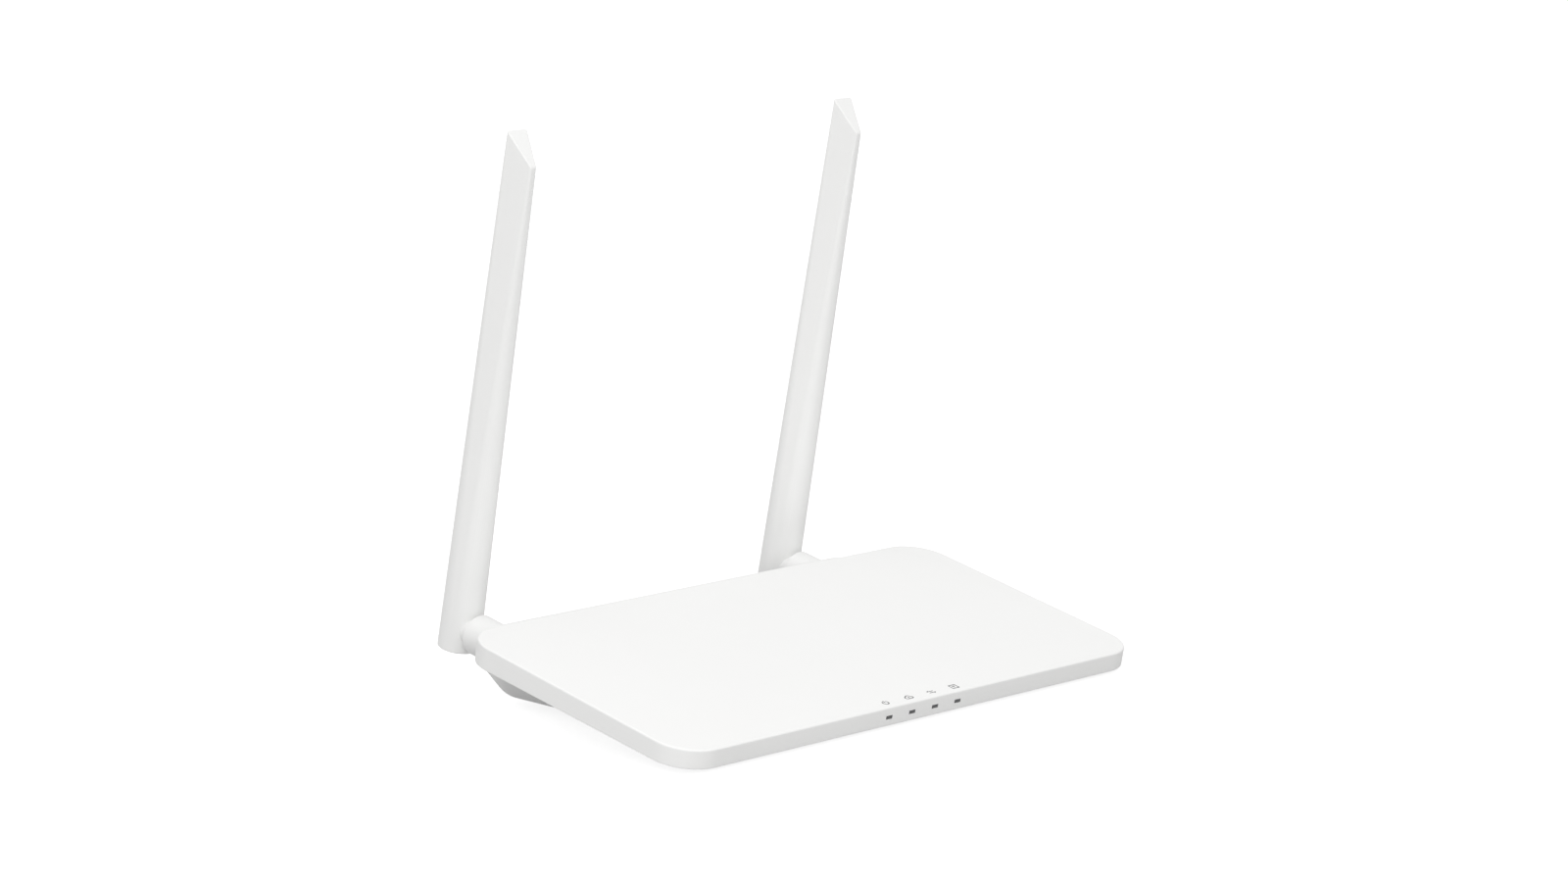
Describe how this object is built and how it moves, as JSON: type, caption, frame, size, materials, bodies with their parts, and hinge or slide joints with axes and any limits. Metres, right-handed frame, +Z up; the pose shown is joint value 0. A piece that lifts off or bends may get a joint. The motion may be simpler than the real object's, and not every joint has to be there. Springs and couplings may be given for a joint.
{
  "type": "wifi range extender",
  "caption": "Desktop wifi range extender: a thin sloping plate on a wedge tub with rear sockets, and two blade antennas that swivel on horizontal stubs.",
  "frame": {"origin": "centre of the overall footprint with both antennas upright, on the desk surface that the feet stand on", "axes": "+X to the right seen from the front, +Y to the rear where the sockets and antennas are, +Z up"},
  "size_m": [0.2, 0.1416, 0.1777],
  "materials": {
    "case_plastic": "fine-grained moulded ABS, white",
    "antenna_plastic": "fine-grained moulded ABS, white",
    "board_laminate": "solder-masked glass-epoxy laminate",
    "chip_resin": "moulded epoxy",
    "tinplate": "tin-plated sheet",
    "socket_plastic": "glass-filled nylon, black",
    "gilt_contacts": "gold-flashed spring bronze",
    "plated_steel": "nickel-plated steel",
    "capacitor_can": "printed sleeve on an aluminium can",
    "led_lens": "clear resin over a phosphor",
    "dark_guide": "smoke-tinted clear plastic",
    "foot_rubber": "soft grey-black rubber",
    "coax_jacket": "extruded cable jacket",
    "washer_nylon": "nylon"
  },
  "bodies": {
    "case": {"top_cover": "case_plastic", "bottom_cover": "case_plastic", "main_board": "board_laminate", "processor_chip": "chip_resin", "radio_chip": "chip_resin", "radio_shield": "tinplate", "memory_chip": "chip_resin", "clock_crystal": "tinplate", "line_transformers": "chip_resin", "left_network_jack": "socket_plastic", "right_network_jack": "socket_plastic", "jack_contacts": "gilt_contacts", "power_jack": "socket_plastic", "power_pin": "plated_steel", "capacitors": "capacitor_can", "power_inductor": "socket_plastic", "status_leds": "led_lens", "light_guides": "dark_guide", "button_switch": "socket_plastic", "case_screws": "plated_steel", "board_screws": "plated_steel", "rubber_feet": "foot_rubber", "antenna_nuts": "plated_steel", "coax_sockets": "gilt_contacts", "left_pigtail": "coax_jacket", "right_pigtail": "coax_jacket", "left_stub": "antenna_plastic", "right_stub": "antenna_plastic", "left_washer": "washer_nylon", "right_washer": "washer_nylon", "left_clip": "plated_steel", "right_clip": "plated_steel"},
    "left_antenna": {"left_antenna_shell": "antenna_plastic", "left_antenna_cap": "antenna_plastic", "left_radiator": "board_laminate", "left_antenna_coax": "coax_jacket"},
    "right_antenna": {"right_antenna_shell": "antenna_plastic", "right_antenna_cap": "antenna_plastic", "right_radiator": "board_laminate", "right_antenna_coax": "coax_jacket"},
    "button": {"pairing_button": "case_plastic"}
  },
  "joints": [
    {"name": "left_antenna_swivel", "type": "hinge", "parent": "case", "child": "left_antenna", "pos_m": [-0.07, 0.0551, 0.01821], "axis": [0, -0.9796, -0.2011], "range_deg": [-22, 90]},
    {"name": "right_antenna_swivel", "type": "hinge", "parent": "case", "child": "right_antenna", "pos_m": [0.07, 0.0551, 0.01821], "axis": [0, 0.9796, 0.2011], "range_deg": [-22, 90]},
    {"name": "pairing_button_press", "type": "slide", "parent": "case", "child": "button", "axis": [0, -1, 0], "range_m": [0, 0.0006], "stiffness_N_per_m": 600, "springref_m": -0.001}
  ]
}
